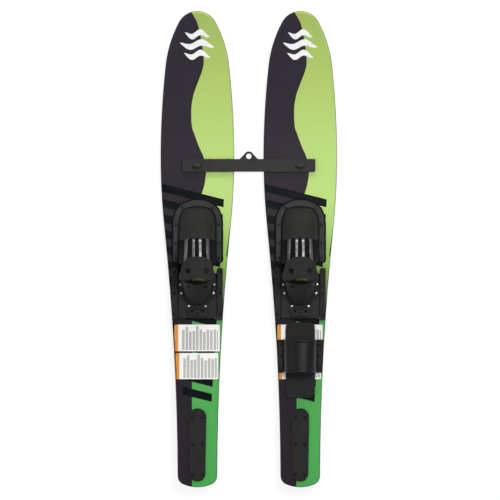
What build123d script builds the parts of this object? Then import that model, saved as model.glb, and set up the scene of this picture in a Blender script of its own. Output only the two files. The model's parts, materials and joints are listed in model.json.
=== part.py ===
from build123d import *
import os
from math import acos, atan2, cos, degrees, hypot, radians, sin, sqrt

# A pair of junior combination water skis, joined near the tips by a trainer bar with a towing eye.
#
# Each sub-part is modelled once, in the ski's own frame: x across the ski from its centreline, y from
# the tail's end towards the tip, z up from the flat of the base. It is then placed on both skis. In the
# pair's frame the skis stand on their fins and on the belly of the forebody, tips towards +Y, left ski
# at -X, with the origin on the ground under the middle of the pair.

# ---- ski ----
ski_length = 1168
deck = 15  # height of the flat deck above the base
rocker_start = 820  # where base and deck start to rise towards the tip
base_rise, deck_rise = 85, 78  # over the rocker, so that the tip is thinner
ski_spacing = 252.5  # centreline to centreline
tail_half_width, tail_crown, tail_corner = 48.5, 87, 22  # radii of the tail's end and of its corners
tail_side = 28  # where the sides begin
waist = (55.3, 290)  # (half width, distance from the tail) of points that the outline runs through
hip, widest, shoulder = (81.5, 640), (90.2, 838), (78, 1035)
tip_radius = 51
deck_round, base_round = 4, 2
tunnel_length, tunnel_width, tunnel_depth, tunnel_middle = 560, 66, 2, 510

# ---- tail plate and fin ----
tail_plate_rear, tail_plate_front, tail_plate_thickness = 14.5, 194, 3
tail_plate_narrow, tail_plate_wide = 19.5, 22  # radii of its rear and front ends
tail_screw_side, tail_screw_rows = 12.3, (32, 106, 172)
fin_depth, fin_flange, fin_blade_thickness = 40, 3, 4.4
fin_rear, fin_flat_rear, fin_flat_front, fin_front = 32, 66, 118, 184

# ---- front binding ----
frame_rear, frame_bar, frame_thickness = 553, 12.5, 4
# bends of the frame: (half width, distance from the tail, radii of the sides, the corners and the crown),
# and by how much each side leans inwards where its corner starts
frame_outside, frame_inside = (59.3, 705, 80, 40, 70), (46.5, 689.7, 60, 12, 90)
frame_outside_lean, frame_inside_lean = 22, 35
frame_screw_sides = [(52.75, 563), (52.75, 600), (52.5, 645), (37.4, 687)]
overlay_flange, overlay_margin = 2.5, 4  # the flange under the frame, and how far it shows round it
flange_inside = 4  # how far the flange runs in under the wall
rubber = 3.6  # wall of the moulded pieces
# (distance from the tail, half width, height above the deck) of the overlay's outside
overlay_arches = [
    (688, 14, 6), (685.4, 25, 12), (679.5, 33.6, 20), (669.7, 39.8, 29), (656.9, 43.7, 36), (636, 45, 43),
    (609, 45, 52), (590, 45, 66), (572, 45, 80), (553, 45, 92),
]
footbed_rear, footbed_front, footbed_half_width, footbed_thickness = 517, 672, 39, 2.6
panel_thickness, panel_front, panel_foot = 2.4, 611, 20  # its lower edges are panel_foot above the deck
panel_corner = (50, 603)  # the panel's arched front edge runs through these points
tab_thickness, tab_height, tab_slope, tab_crown_radius = 5, 96, 6, 92
tab_front, tab_widest, tab_rear, tab_half_width = 567, 515, 507.5, 45
tab_shoulder, tab_flank, tab_corner = (31, 557), (39, 538.5), 42.5
notch_half_width, notch_depth = 21, 6.5
finger_hole_side, finger_hole_y, finger_hole_radius = 22.6, 531, 6.3

# ---- heel carriage ----
heel_travel = 35
rail_inner, rail_outer, rail_height, rail_rear, rail_front = 48, 62.5, 10, 411, 539
rail_middle, rail_counterbore, rail_screw_rows = 56.8, 2.6, (425, 477, 529)
plate_half_width, plate_rear, plate_front = 46.6, 415, 507.5
plate_clearance, plate_thickness = 3.3, 4.5
tongue_reach, tongue_thickness, groove_gap = 50.6, 2, 0.3
rack_width, rack_thickness, rack_rear, rack_front, rack_pitch = 16, 2.6, 414, 470, 7
rack_screw_rows, rack_screw_radius = (418, 466), 1.5
# (distance from the tail, half width, height above the plate) of the heel cup's outside
cup_arches = [
    (447.5, 11, 5), (452, 18, 15), (461, 25, 30), (473, 30.5, 46), (485, 34, 57), (496, 36.5, 65),
    (514, 38.5, 73),
]
cup_flange = 2.4
rim_foot_y, rim_top_y, rim_top = 508, 499, 80  # the cup's open edge leans back from foot to top
rivet_spots = [(side * x, y) for side in (-1, 1) for x, y in ((41.5, 498), (39, 476.5), (20.7, 444.5))]
lever_half_width, lever_rear, lever_height = 24, 419, 5.5
lug_thickness, lug_length, lug_gap = 3, 7.2, 0.5
lever_axis_y, lever_axis_up, pin_radius = 434, 3.2, 1.5
tooth_y, tooth_length, tooth_width, tooth_clearance = 424.5, 3, 9, 0.4
window_rear, window_front, window_width = 418.8, 427.6, 12
spring_x, spring_slot, spring_radius, spring_wire = 13, 7, 2.15, 0.4

# ---- trainer bar ----
knob_y, washer_thickness, washer_radius = 790, 2, 12
bar_thickness, bar_rear, bar_front = 5, 774.5, 806
bar_past = 37  # how far it runs past the knobs' axes
eye_y, eye_radius, eye_land, eye_half_base = 812.5, 6.5, 5.5, 23.5
stud_radius, stud_below, stud_above = 3, 17, 7
insert_radius, insert_length = 5.5, 11

# ---- rear toe piece, on the right ski only ----
pad_rear, pad_front, pad_thickness, pad_half_width = 219, 405, 5, 36
strap_rear, strap_front, strap_half_width, strap_height, strap_drop = 281, 363, 40, 52, 6
strap_wing_front, strap_wing_rear, strap_flange = 57, 54, 2.6  # half widths and thickness of the wings
strap_plate_middle, strap_plate_width, strap_plate_thickness = 47.6, 11.5, 3
strap_plate_rear, strap_plate_front, strap_screw_rows = 290, 359, (298, 325, 351)

# ---- fasteners ----
head_radius, head_height, shank_radius = 3.6, 2.3, 1.9
thread_in_insert = 7  # how deep a screw reaches below the deck
brass_radius, brass_length = 3.1, 8
fit_gap = 0.05

# ---- worked out from the above ----
frame_screw_spots = [(side * x, y) for side in (-1, 1) for x, y in frame_screw_sides]
rail_screw_spots = [(side * rail_middle, y) for side in (-1, 1) for y in rail_screw_rows]
strap_screw_spots = [(side * strap_plate_middle, y) for side in (-1, 1) for y in strap_screw_rows]
tail_screw_spots = [(side * tail_screw_side, y) for side in (-1, 1) for y in tail_screw_rows]
rack_screw_spots = [(0, y) for y in rack_screw_rows]
tail_turn = tail_crown - sqrt(tail_crown**2 - tail_half_width**2)  # where the tail's end meets its sides
plate_under = deck + plate_clearance
plate_top = plate_under + plate_thickness
lever_floor = plate_top + 0.4
lever_axis_z = plate_top + lever_axis_up
lug_x = lever_half_width + lug_gap + lug_thickness / 2
bar_under = deck + washer_thickness
bar_top = bar_under + bar_thickness
frame_under = deck + overlay_flange


def radius_over(run, rise):
    """The radius of an arc that leaves a line tangentially and rises by rise over run."""
    return (run**2 + rise**2) / (2 * rise)


def cross_plane(y, z=0.0):
    """A plane across the ski at y, facing the tail, with its local y up."""
    return Plane(origin=(0, y, z), x_dir=(1, 0, 0), z_dir=(0, -1, 0))


def hollow_arches(arches):
    """The arches of a moulded piece's inside: all but the smallest, moved in by the rubber's wall."""
    way = rubber if arches[-1][0] > arches[0][0] else -rubber
    inside = [(y + way, half - rubber, height - rubber) for y, half, height in arches[1:]]
    open_y, open_half_width, open_height = inside[-1]
    return inside + [(open_y + way, open_half_width, open_height)]


def arch_body(arches, foot):
    """The solid lofted through square-shouldered arches that stand at z = foot."""
    bend, flank = (0.7, 0.825), (0.945, 0.48)  # points of the arch, as shares of half width and height
    with BuildPart() as body:
        for y, half_width, height in arches:
            left = [(-half_width, 0)] + [(-half_width * x, height * z) for x, z in (flank, bend)]
            right = [(half_width * x, height * z) for x, z in (bend, flank)] + [(half_width, 0)]
            with BuildSketch(cross_plane(y, foot)):
                with BuildLine():
                    arch = Spline(*left, (0, height), *right)
                    Line(arch @ 1, arch @ 0)
                make_face()
        loft()
    return body.part


def horseshoe(growth, rear, foot_radius, z, thickness):
    """The frame's horseshoe, open to the rear, its bends grown outwards and inwards by growth."""
    outwards, inwards = growth
    with BuildPart() as shoe:
        with BuildSketch(Plane.XY.offset(z)) as plan:
            for bend, lean, grown, start, mode in (
                (frame_outside, frame_outside_lean, outwards, rear, Mode.ADD),
                (frame_inside, frame_inside_lean, -inwards, rear - 1, Mode.SUBTRACT),
            ):
                half_width, top, side, corner, crown = [size + grown for size in bend]
                turn = radians(lean)
                corner_x = half_width - side * (1 - cos(turn))
                last = acos((corner_x - corner * cos(turn)) / (crown - corner))
                corner_start = top - crown * (1 - sin(last)) - corner * (sin(last) - sin(turn))
                side_start = corner_start - side * sin(turn)
                with BuildLine():
                    leg = Line((half_width, start), (half_width, side_start))
                    flank = JernArc(leg @ 1, leg % 1, side, lean)
                    shoulder = JernArc(flank @ 1, flank % 1, corner, degrees(last) - lean)
                    TangentArc(shoulder @ 1, (0, top), tangent=shoulder % 1)
                    mirror(about=Plane.YZ)
                    Line((-half_width, start), (half_width, start))
                make_face(mode=mode)
            fillet(plan.vertices().group_by(Axis.Y)[0], radius=foot_radius)
        extrude(amount=thickness)
    return shoe.part


def copies(piece, spots, z):
    """One node of identical separate pieces, one at each spot."""
    with BuildPart() as group:
        with Locations(*[(x, y, z) for x, y in spots]):
            add(piece)
    return group


# ---- fasteners, each drawn with the underside of its head at z = 0 ----
def pan_head_screw(length):
    with BuildPart() as screw:
        Cylinder(head_radius, head_height, align=(Align.CENTER, Align.CENTER, Align.MIN))
        fillet(screw.edges().group_by(Axis.Z)[-1], radius=1.2)
        with Locations((0, 0, head_height)):
            Box(4.2, 0.9, 2.2, mode=Mode.SUBTRACT)
            Box(0.9, 4.2, 2.2, mode=Mode.SUBTRACT)
        Cylinder(shank_radius, length, align=(Align.CENTER, Align.CENTER, Align.MAX))
    return screw.part


def sleeve(outer, inner, length):
    with BuildPart() as tube:
        Cylinder(outer, length, align=(Align.CENTER, Align.CENTER, Align.MAX))
        Cylinder(inner, length, align=(Align.CENTER, Align.CENTER, Align.MAX), mode=Mode.SUBTRACT)
    return tube.part


with BuildPart() as rivet:
    Cylinder(2.9, 1.6, align=(Align.CENTER, Align.CENTER, Align.MIN))
    fillet(rivet.edges().group_by(Axis.Z)[-1], radius=1.2)
    Cylinder(shank_radius, cup_flange + plate_thickness, align=(Align.CENTER, Align.CENTER, Align.MAX))

with BuildPart() as flush_screw:
    Cone(rack_screw_radius, 2.5, 1, align=(Align.CENTER, Align.CENTER, Align.MAX))
    Cylinder(rack_screw_radius, 10, align=(Align.CENTER, Align.CENTER, Align.MAX))
    Box(3, 0.7, 1, mode=Mode.SUBTRACT)

rail_screws = copies(
    pan_head_screw(rail_height - rail_counterbore + thread_in_insert), rail_screw_spots,
    deck + rail_height - rail_counterbore,
)
frame_screws = copies(
    pan_head_screw(frame_thickness + overlay_flange + thread_in_insert), frame_screw_spots,
    frame_under + frame_thickness,
)
strap_screws = copies(
    pan_head_screw(strap_plate_thickness + strap_flange + thread_in_insert), strap_screw_spots,
    deck + strap_flange + strap_plate_thickness,
)
tail_screws = copies(
    pan_head_screw(tail_plate_thickness + deck + fin_flange), tail_screw_spots, deck + tail_plate_thickness
)
rack_screws = copies(flush_screw.part, rack_screw_spots, deck + rack_thickness - 0.1)
heel_rivets = copies(rivet.part, rivet_spots, plate_top + cup_flange)
brass_insert = sleeve(brass_radius, shank_radius + fit_gap, brass_length)
bar_insert = copies(sleeve(insert_radius, stud_radius + fit_gap, insert_length), [(0, knob_y)], deck)


# ---- ski blank ----
def touching_point(start, heading, radius):
    """Where an arc that leaves start along heading runs tangentially into the tip's circle."""
    tip_centre = Vector(0, ski_length - radius)
    inward = Vector(-heading.Y, heading.X)
    offset = start - tip_centre
    blend = (radius**2 - offset.dot(offset)) / (2 * (offset.dot(inward) + radius))
    return tip_centre + (tip_centre - start - inward * blend).normalized() * radius


with BuildPart() as blank:
    rocker = ski_length - rocker_start
    with BuildSketch(Plane.YZ):
        with BuildLine():
            base = Line((-10, 0), (rocker_start, 0))
            base_arc = JernArc(base @ 1, base % 1, radius_over(rocker, base_rise), 30)
            top = Line((-10, deck), (rocker_start, deck))
            top_arc = JernArc(top @ 1, top % 1, radius_over(rocker, deck_rise), 28)
            Line(base @ 0, top @ 0)
            Line(base_arc @ 1, top_arc @ 1)
        make_face()
    extrude(amount=widest[0] + 10, both=True)
    with BuildSketch(Plane.XY.offset(-20)) as plan:
        with BuildLine():
            side_cut = ThreePointArc((tail_half_width, tail_side), waist, hip)
            flare = TangentArc(side_cut @ 1, widest, tangent=side_cut % 1)
            fore = TangentArc(flare @ 1, shoulder, tangent=flare % 1)
            nose_end = touching_point(fore @ 1, fore % 1, tip_radius)
            nose = TangentArc(fore @ 1, nose_end, tangent=fore % 1)
            TangentArc((0, ski_length), nose_end, tangent=(1, 0))
            Line((tail_half_width, tail_turn), side_cut @ 0)
            mirror(about=Plane.YZ)
            ThreePointArc((-tail_half_width, tail_turn), (0, 0), (tail_half_width, tail_turn))
        make_face()
        fillet(plan.vertices().group_by(Axis.Y)[0], radius=tail_corner)
    extrude(amount=base_rise + deck + 60, mode=Mode.INTERSECT)
    upper = blank.faces().filter_by(lambda face: face.normal_at().Z > 0.5).edges()
    lower = blank.faces().filter_by(lambda face: face.normal_at().Z < -0.5).edges()
    deck_rim = upper.filter_by(lambda edge: abs(edge.center().Y - rocker_start) > 1)
    base_rim = lower.filter_by(lambda edge: abs(edge.center().Y - rocker_start) > 1)
    fillet(deck_rim, radius=deck_round)
    fillet(base_rim, radius=base_round)
    with BuildSketch(Plane.XY):
        with Locations((0, tunnel_middle)):
            SlotOverall(tunnel_length, tunnel_width, rotation=90)
    extrude(amount=tunnel_depth, taper=50, mode=Mode.SUBTRACT)
    with Locations(*[(x, y, deck) for x, y in frame_screw_spots + rail_screw_spots]):
        Hole(brass_radius + fit_gap, brass_length + 1)
    with Locations(*[(x, y, deck) for x, y in rack_screw_spots]):
        Hole(rack_screw_radius + fit_gap, 9)
    with Locations(*[(x, y, deck) for x, y in tail_screw_spots]):
        Hole(shank_radius + 0.2, deck)
    with Locations((0, knob_y, deck)):
        Hole(insert_radius + fit_gap, insert_length + 1)

with BuildPart() as combo_blank:
    add(blank.part)
    with Locations(*[(x, y, deck) for x, y in strap_screw_spots]):
        Hole(brass_radius + fit_gap, brass_length + 1)


# ---- tail: plate on the deck, fin under the base ----
with BuildSketch(Plane.XY) as tail_outline:
    with Locations((0, tail_plate_rear + tail_plate_narrow)):
        Circle(tail_plate_narrow)
    with Locations((0, tail_plate_front - tail_plate_wide)):
        Circle(tail_plate_wide)
    make_hull()

with BuildPart() as tail_plate:
    with BuildSketch(Plane.XY.offset(deck)):
        add(tail_outline.sketch)
    extrude(amount=tail_plate_thickness)
    fillet(tail_plate.edges().group_by(Axis.Z)[-1], radius=1.2)
    with Locations(*[(x, y, deck + tail_plate_thickness) for x, y in tail_screw_spots]):
        Hole(shank_radius + fit_gap, tail_plate_thickness)

with BuildPart() as fin:
    with BuildSketch(Plane.XY.offset(-fin_flange)):
        add(tail_outline.sketch)
    extrude(amount=fin_flange)
    fillet(fin.edges().group_by(Axis.Z)[0], radius=1.2)
    with Locations(*[(x, y, 0) for x, y in tail_screw_spots]):
        Hole(shank_radius + fit_gap, fin_flange)
    with BuildSketch(Plane.YZ):
        with BuildLine():
            keel = Line((fin_flat_rear, -fin_depth), (fin_flat_front, -fin_depth))
            leading = TangentArc(keel @ 1, (fin_front, -1), tangent=(1, 0))
            trailing = TangentArc(keel @ 0, (fin_rear, -1), tangent=(-1, 0))
            Line(leading @ 1, trailing @ 1)
        make_face()
    extrude(amount=fin_blade_thickness / 2, both=True)


# ---- front binding ----
frame_ring = horseshoe((0, 0), frame_rear, frame_bar / 2 - 0.2, frame_under, frame_thickness)
flange_ring = horseshoe((overlay_margin, flange_inside), frame_rear - 2, 8, deck, overlay_flange)
overlay_outside = arch_body(overlay_arches, deck)
overlay_inside = arch_body(hollow_arches(overlay_arches), deck)
panel_arches = [(y, half + panel_thickness, height + panel_thickness) for y, half, height in overlay_arches]
panel_outside = arch_body(panel_arches, deck)

with BuildPart() as toe_frame:
    add(frame_ring)
    fillet(toe_frame.edges().group_by(Axis.Z)[-1], radius=1.2)
    with Locations(*[(x, y, frame_under + frame_thickness) for x, y in frame_screw_spots]):
        Hole(shank_radius + fit_gap, frame_thickness)

with BuildPart() as toe_overlay:
    add(flange_ring)
    add(overlay_outside)
    add(overlay_inside, mode=Mode.SUBTRACT)
    add(frame_ring, mode=Mode.SUBTRACT)
    with Locations(*[(x, y, frame_under) for x, y in frame_screw_spots]):
        Hole(shank_radius + fit_gap, overlay_flange)

with BuildPart() as footbed:
    with BuildSketch(Plane.XY.offset(deck)) as sole:
        with Locations((0, (footbed_rear + footbed_front) / 2)):
            Rectangle(2 * footbed_half_width, footbed_front - footbed_rear)
        fillet(sole.vertices().group_by(Axis.Y)[0], radius=6)
        fillet(sole.vertices().group_by(Axis.Y)[-1], radius=26)
    extrude(amount=footbed_thickness)
    fillet(footbed.edges().group_by(Axis.Z)[-1], radius=0.8)

with BuildPart() as instep_panel:
    add(panel_outside)
    add(overlay_outside, mode=Mode.SUBTRACT)
    with BuildSketch(Plane.XY.offset(deck + panel_foot)):
        across, along = panel_corner
        with BuildLine():
            front_edge = ThreePointArc((-across, along), (0, panel_front), (across, along))
            Polyline(front_edge @ 1, (across, frame_rear - 5), (-across, frame_rear - 5), front_edge @ 0)
        make_face()
    extrude(amount=100, mode=Mode.INTERSECT)

with BuildPart() as pull_tab:
    with BuildSketch(cross_plane(tab_front, deck + tab_height).rotated((-tab_slope, 0, 0))):
        with Locations((0, -tab_crown_radius)):
            Circle(tab_crown_radius)
            Circle(tab_crown_radius - tab_thickness, mode=Mode.SUBTRACT)
        with Locations((0, -2 * tab_crown_radius)):
            Rectangle(3 * tab_crown_radius, 2.6 * tab_crown_radius, mode=Mode.SUBTRACT)
    extrude(amount=tab_front - tab_rear + 30, both=True)
    with BuildSketch(Plane.XY.offset(deck + 40)):
        with BuildLine():
            front = TangentArc((0, tab_front), tab_shoulder, tangent=(1, 0))
            cheek = Spline(
                front @ 1, tab_flank, (tab_half_width, tab_widest), (tab_corner, tab_rear),
                tangents=((1, -0.75), (-1, -0.3)),
            )
            Line(cheek @ 1, (notch_half_width, tab_rear))
            mirror(about=Plane.YZ)
            ThreePointArc(
                (-notch_half_width, tab_rear), (0, tab_rear + notch_depth), (notch_half_width, tab_rear)
            )
        make_face()
        with Locations((-finger_hole_side, finger_hole_y), (finger_hole_side, finger_hole_y)):
            Circle(finger_hole_radius, mode=Mode.SUBTRACT)
    extrude(amount=100, mode=Mode.INTERSECT)
    add(panel_outside, mode=Mode.SUBTRACT)


# ---- heel carriage ----
def heel_rail(side):
    """The rail on one side of the carriage, grooved along its inner face for the plate's tongue."""
    with BuildPart() as rail:
        with BuildSketch(Plane.XY.offset(deck)) as foot:
            with Locations((side * (rail_inner + rail_outer) / 2, (rail_rear + rail_front) / 2)):
                Rectangle(rail_outer - rail_inner, rail_front - rail_rear)
            fillet(foot.vertices().group_by(Axis.Y)[-1], radius=6)
            fillet(foot.vertices().group_by(Axis.Y)[0], radius=2)
        extrude(amount=rail_height)
        fillet(rail.edges().group_by(Axis.Z)[-1], radius=1.5)
        with BuildSketch(cross_plane(rail_front)):
            with Locations((0, plate_under + tongue_thickness / 2)):
                Rectangle(2 * (tongue_reach + groove_gap), tongue_thickness + 2 * groove_gap)
        extrude(amount=rail_front - rail_rear, mode=Mode.SUBTRACT)
        with Locations(*[(side * rail_middle, y, deck + rail_height) for y in rail_screw_rows]):
            CounterBoreHole(shank_radius + fit_gap, head_radius + 0.3, rail_counterbore, rail_height)
    return rail


with BuildPart() as lock_rack:
    with Locations((0, (rack_rear + rack_front) / 2, deck)):
        Box(
            rack_width, rack_front - rack_rear, rack_thickness,
            align=(Align.CENTER, Align.CENTER, Align.MIN),
        )
    with Locations(*[(0, tooth_y + i * rack_pitch, deck + rack_thickness) for i in range(6)]):
        Box(rack_width - 4, rack_pitch / 2, 2.4, mode=Mode.SUBTRACT)
    with Locations(*[(x, y, deck + rack_thickness) for x, y in rack_screw_spots]):
        CounterSinkHole(rack_screw_radius + fit_gap, 2.6, rack_thickness, counter_sink_angle=90)

with BuildPart() as heel_plate:
    with BuildSketch(Plane.XY.offset(plate_under)) as outline:
        with Locations((0, (plate_rear + plate_front) / 2)):
            Rectangle(2 * plate_half_width, plate_front - plate_rear)
        fillet(outline.vertices(), radius=3)
    extrude(amount=plate_thickness)
    fillet(heel_plate.edges().group_by(Axis.Z)[-1], radius=0.8)
    with BuildSketch(Plane.XY.offset(plate_under)):
        with Locations((0, (plate_rear + plate_front) / 2)):
            Rectangle(2 * tongue_reach, plate_front - plate_rear - 8)
    extrude(amount=tongue_thickness)
    with Locations((-lug_x, lever_axis_y, plate_top), (lug_x, lever_axis_y, plate_top)):
        Box(lug_thickness, lug_length, lever_axis_up + 3, align=(Align.CENTER, Align.CENTER, Align.MIN))
    fillet(heel_plate.edges().filter_by(Axis.X).group_by(Axis.Z)[-1], radius=2)
    with BuildSketch(Plane.XY.offset(plate_under)):
        with Locations((0, (window_rear + window_front) / 2)):
            Rectangle(window_width, window_front - window_rear)
    extrude(amount=plate_thickness, mode=Mode.SUBTRACT)
    with Locations((0, lever_axis_y, lever_axis_z)):
        Cylinder(pin_radius + fit_gap, 80, rotation=(0, 90, 0), mode=Mode.SUBTRACT)
    with Locations(*[(x, y, plate_top) for x, y in rivet_spots]):
        Hole(shank_radius + fit_gap, plate_thickness)

with BuildPart() as lock_lever:
    with BuildSketch(Plane.XY.offset(lever_floor)) as flap:
        with Locations((0, (lever_rear + lever_axis_y) / 2)):
            Rectangle(2 * lever_half_width, lever_axis_y - lever_rear)
        fillet(flap.vertices().group_by(Axis.Y)[0], radius=4)
    extrude(amount=lever_height)
    fillet(lock_lever.edges().group_by(Axis.Z)[-1].group_by(Axis.Y)[0], radius=1)
    with Locations((0, lever_axis_y, lever_floor + lever_height / 2)):
        Cylinder(lever_height / 2, 2 * lever_half_width, rotation=(0, 90, 0))
    with Locations((0, lever_rear + 6, lever_floor + lever_height)):
        Box(6, 10, 2 * lever_height - 2.4, mode=Mode.SUBTRACT)
    tooth_foot = deck + rack_thickness + tooth_clearance
    with Locations((0, tooth_y, tooth_foot)):
        Box(
            tooth_width, tooth_length, lever_floor + 1 - tooth_foot,
            align=(Align.CENTER, Align.CENTER, Align.MIN),
        )
    with Locations((0, lever_axis_y, lever_axis_z)):
        Cylinder(pin_radius + fit_gap, 80, rotation=(0, 90, 0), mode=Mode.SUBTRACT)
    with Locations((-spring_x, lever_axis_y, lever_axis_z), (spring_x, lever_axis_y, lever_axis_z)):
        Box(spring_slot, 10, 20, mode=Mode.SUBTRACT)

with BuildPart() as lever_pin:
    with Locations((0, lever_axis_y, lever_axis_z)):
        Cylinder(pin_radius, 2 * lug_x + lug_thickness, rotation=(0, 90, 0))

with BuildPart() as lever_spring:
    turns, coil_length = 4, spring_slot - 2.4
    with BuildLine() as coil:
        Helix(coil_length / turns, coil_length, spring_radius, (-coil_length / 2, 0, 0), (1, 0, 0))
    with BuildSketch(Plane(origin=coil.line @ 0, z_dir=coil.line % 0)):
        Circle(spring_wire)
    sweep(path=coil.line, is_frenet=True)

lever_springs = copies(
    lever_spring.part, [(-spring_x, lever_axis_y), (spring_x, lever_axis_y)], lever_axis_z
)

cup_outside = arch_body(cup_arches, plate_top)
cup_inside = arch_body(hollow_arches(cup_arches), plate_top)

with BuildPart() as heel_cup:
    add(cup_outside)
    with BuildSketch(Plane.XY.offset(plate_top)):
        with BuildLine():
            heel_back = ThreePointArc((-36, 462), (0, 438.5), (36, 462))
            Polyline(heel_back @ 0, (-45.6, 470), (-45.6, 505), (45.6, 505), (45.6, 470), heel_back @ 1)
        make_face()
    extrude(amount=cup_flange)
    add(cup_inside, mode=Mode.SUBTRACT)
    with BuildSketch(Plane.YZ):
        with BuildLine():
            Polyline(
                (rim_foot_y, plate_top - 1), (rim_top_y, plate_top + rim_top),
                (rim_foot_y + 40, plate_top + rim_top), (rim_foot_y + 40, plate_top - 1), close=True,
            )
        make_face()
    extrude(amount=80, both=True, mode=Mode.SUBTRACT)
    with Locations(*[(x, y, plate_top + cup_flange) for x, y in rivet_spots]):
        Hole(shank_radius + fit_gap, cup_flange)


# ---- trainer bar ----
with BuildPart() as trainer_bar:
    bar_middle = ski_spacing / 2
    with BuildSketch(Plane.XY.offset(bar_under)) as strip:
        with Locations((bar_middle, (bar_rear + bar_front) / 2)):
            Rectangle(ski_spacing + 2 * bar_past, bar_front - bar_rear)
        fillet(strip.vertices(), radius=3)
        with BuildLine():
            Polyline(
                (bar_middle - eye_half_base, bar_front - 1), (bar_middle, eye_y + 16),
                (bar_middle + eye_half_base, bar_front - 1), close=True,
            )
        make_face()
        with Locations((bar_middle, eye_y + 17)):
            Rectangle(40, 10, mode=Mode.SUBTRACT)
        with Locations((bar_middle, eye_y)):
            Circle(eye_radius + eye_land)
            Circle(eye_radius, mode=Mode.SUBTRACT)
    extrude(amount=bar_thickness)
    with Locations((0, knob_y, bar_top), (ski_spacing, knob_y, bar_top)):
        Hole(stud_radius + fit_gap, bar_thickness)

with BuildPart() as bar_washer:
    with Locations((0, knob_y, deck)):
        Cylinder(washer_radius, washer_thickness, align=(Align.CENTER, Align.CENTER, Align.MIN))
    with Locations((0, knob_y, deck + washer_thickness)):
        Hole(stud_radius + 0.4, washer_thickness)

with BuildPart() as bar_knob:
    with Locations((0, knob_y, bar_top)):
        Cylinder(6.5, 3, align=(Align.CENTER, Align.CENTER, Align.MIN))
    with BuildSketch(Plane.XY.offset(bar_top + 3)):
        with Locations((0, knob_y)):
            Ellipse(11, 5.8)
    extrude(amount=10, taper=4)
    fillet(bar_knob.edges().group_by(Axis.Z)[-1], radius=2.5)
    with BuildSketch(Plane.XY.offset(bar_top)):
        with Locations((0, knob_y)):
            Circle(stud_radius)
    extrude(amount=stud_above, mode=Mode.SUBTRACT)

with BuildPart() as knob_stud:
    with BuildSketch(Plane.XY.offset(bar_top - stud_below)):
        with Locations((0, knob_y)):
            Circle(stud_radius)
    extrude(amount=stud_below + stud_above)
    chamfer(knob_stud.edges().group_by(Axis.Z)[0], length=0.8)


# ---- rear toe piece ----
strap_outside = arch_body(
    [
        (strap_front, strap_half_width, strap_height - strap_drop),
        (strap_rear, strap_half_width + 1, strap_height),
    ],
    deck,
)
strap_inside = arch_body(
    [
        (strap_front + 10, strap_half_width - rubber, strap_height - strap_drop - rubber),
        (strap_rear - 10, strap_half_width + 1 - rubber, strap_height - rubber),
    ],
    deck,
)

with BuildPart() as rear_foot_pad:
    with BuildSketch(Plane.XY.offset(deck)) as sole:
        with Locations((0, (pad_rear + pad_front) / 2)):
            Rectangle(2 * pad_half_width, pad_front - pad_rear)
        fillet(sole.vertices().group_by(Axis.Y)[0], radius=14)
        fillet(sole.vertices().group_by(Axis.Y)[-1], radius=10)
    extrude(amount=pad_thickness)
    fillet(rear_foot_pad.edges().group_by(Axis.Z)[-1], radius=1.5)

with BuildPart() as rear_toe_strap:
    with BuildSketch(Plane.XY.offset(deck)) as wing:
        with BuildLine():
            Polyline(
                (-strap_wing_rear, strap_rear), (-strap_wing_front, strap_front),
                (strap_wing_front, strap_front), (strap_wing_rear, strap_rear), close=True,
            )
        make_face()
        fillet(wing.vertices(), radius=8)
    extrude(amount=strap_flange)
    add(strap_outside)
    add(strap_inside, mode=Mode.SUBTRACT)
    with Locations(*[(x, y, deck + strap_flange) for x, y in strap_screw_spots]):
        Hole(shank_radius + fit_gap, strap_flange)


def strap_plate(side):
    """The bar that clamps one wing of the rear strap to the deck."""
    spots = [(side * strap_plate_middle, y) for y in strap_screw_rows]
    with BuildPart() as plate:
        with BuildSketch(Plane.XY.offset(deck + strap_flange)):
            with Locations((side * strap_plate_middle, (strap_plate_rear + strap_plate_front) / 2)):
                SlotOverall(strap_plate_front - strap_plate_rear, strap_plate_width, rotation=90)
        extrude(amount=strap_plate_thickness)
        fillet(plate.edges().group_by(Axis.Z)[-1], radius=1)
        with Locations(*[(x, y, deck + strap_flange + strap_plate_thickness) for x, y in spots]):
            Hole(shank_radius + fit_gap, strap_plate_thickness)
    return plate


# ---- where the skis stand ----
# The ground touches two arcs: the fin's leading edge and the belly of the rocker. The pitch, tips down,
# is the slope of the line that touches both.
rocker_radius = radius_over(ski_length - rocker_start, base_rise)
fin_radius = radius_over(fin_front - fin_flat_front, fin_depth - 1)
centres_along = rocker_start - fin_flat_front
centres_up = rocker_radius + fin_depth - fin_radius
centres_apart = hypot(centres_along, centres_up)
pitch = degrees(acos((rocker_radius - fin_radius) / centres_apart) - atan2(centres_along, centres_up))
pitched = blank.part.moved(Location((0, 0, 0), (-pitch, 0, 0))).bounding_box()
grounded = fin.part.moved(Location((0, 0, 0), (-pitch, 0, 0))).bounding_box()
middle_y = (pitched.min.Y + pitched.max.Y) / 2
ground_z = min(pitched.min.Z, grounded.min.Z)


def ski_place(side):
    """Where a ski's frame stands in the pair's frame: side is -1 for the left ski, 1 for the right."""
    return Location((side * ski_spacing / 2, -middle_y, -ground_z), (-pitch, 0, 0))


def write(name, part, place):
    """Place a finished piece, label it and write it out."""
    with BuildPart() as piece:
        add(part.moved(place))
    piece.part.label = name
    export_step(piece.part, f"parts/{name}.step")


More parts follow.
